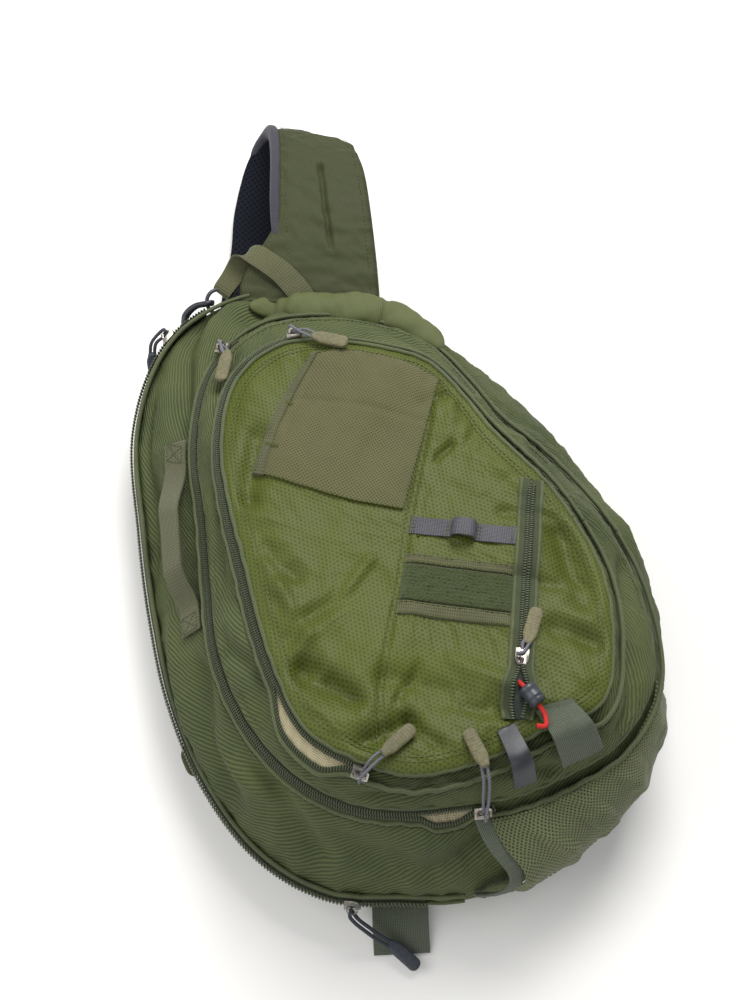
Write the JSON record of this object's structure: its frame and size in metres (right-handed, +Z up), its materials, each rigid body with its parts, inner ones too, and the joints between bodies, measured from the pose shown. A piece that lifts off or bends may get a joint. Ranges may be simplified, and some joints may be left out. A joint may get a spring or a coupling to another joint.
{
  "type": "fishing tackle sling bag",
  "caption": "Olive sling bag for fishing tackle: three zipped compartments, padded shoulder strap, net and bottle pockets, lying on its back pads.",
  "frame": {"origin": "on the underside of the right back pad, at the level of the floor that the bag lies on", "axes": "+Z up out of the front face, +Y along the bag towards the shoulder strap, +X to the right of the front face"},
  "size_m": [0.3587, 0.6691, 0.1643],
  "materials": {
    "body_nylon": "olive diagonal-ribbed nylon, PU-coated inside, matt",
    "face_nylon": "lighter olive honeycomb ripstop nylon, slight sheen",
    "strap_nylon": "olive diagonal-ribbed nylon over foam",
    "dark_mesh": "dark navy knitted spacer mesh",
    "spacer_mesh": "dark olive knitted spacer mesh over foam",
    "bottle_mesh": "olive knitted stretch mesh",
    "khaki_mesh": "khaki knitted net with small round holes",
    "webbing": "khaki woven polyester webbing",
    "zipper_tape": "olive woven zipper tape with a moulded nylon coil",
    "grey_tape": "grey woven binding tape",
    "loop_pile": "dark green loop pile fastener",
    "beige_lining": "beige plain-woven lining",
    "ribbed_elastic": "grey-green ribbed woven elastic",
    "gloss_band": "dark grey glossy coated band",
    "satin_nickel": "satin nickel plated die-cast zinc",
    "tan_rubber": "tan moulded soft PVC",
    "black_rubber": "blue-black moulded soft PVC",
    "black_plastic": "black moulded acetal, slightly glossy",
    "grey_plastic": "dark grey moulded acetal",
    "grey_cord": "grey braided polyester cord",
    "black_cord": "black braided polyester cord",
    "red_cord": "red braided elastic cord"
  },
  "bodies": {
    "root": {"back_pad_left": "spacer_mesh", "back_pad_right": "spacer_mesh", "back_panel": "spacer_mesh", "bottle_pocket": "bottle_mesh", "cord_lock": "grey_plastic", "corner_webbing": "webbing", "elastic_holder": "ribbed_elastic", "front_pocket": "face_nylon", "front_zipper": "zipper_tape", "gear_clip": "black_plastic", "grab_handle": "webbing", "haul_webbing": "webbing", "lining_front": "beige_lining", "lining_middle": "beige_lining", "loop_patch": "loop_pile", "lower_webbing": "webbing", "main_shell": "body_nylon", "main_zipper": "zipper_tape", "middle_zipper": "zipper_tape", "net_pocket": "khaki_mesh", "patch_tape_lower": "webbing", "patch_tape_upper": "webbing", "pocket_binding": "ribbed_elastic", "pocket_zipper": "zipper_tape", "pull_cord_front_bottom": "grey_cord", "pull_cord_front_top": "grey_cord", "pull_cord_main_bottom": "black_cord", "pull_cord_main_top": "black_cord", "pull_cord_middle_bottom": "grey_cord", "pull_cord_middle_top": "grey_cord", "pull_cord_pocket": "grey_cord", "pull_tab_front_bottom": "tan_rubber", "pull_tab_front_top": "tan_rubber", "pull_tab_main_bottom": "black_rubber", "pull_tab_main_top": "black_rubber", "pull_tab_middle_bottom": "tan_rubber", "pull_tab_middle_top": "tan_rubber", "pull_tab_pocket": "tan_rubber", "red_bungee": "red_cord", "second_shell": "body_nylon", "shoulder_strap": "strap_nylon", "slider_front_bottom": "satin_nickel", "slider_front_top": "satin_nickel", "slider_main_bottom": "satin_nickel", "slider_main_top": "satin_nickel", "slider_middle_bottom": "satin_nickel", "slider_middle_top": "satin_nickel", "slider_pocket": "satin_nickel", "strap_buckle": "black_plastic", "strap_lining": "dark_mesh", "tool_sheath": "gloss_band", "tool_tape": "grey_tape", "top_ring": "grey_plastic"}
  },
  "joints": []
}
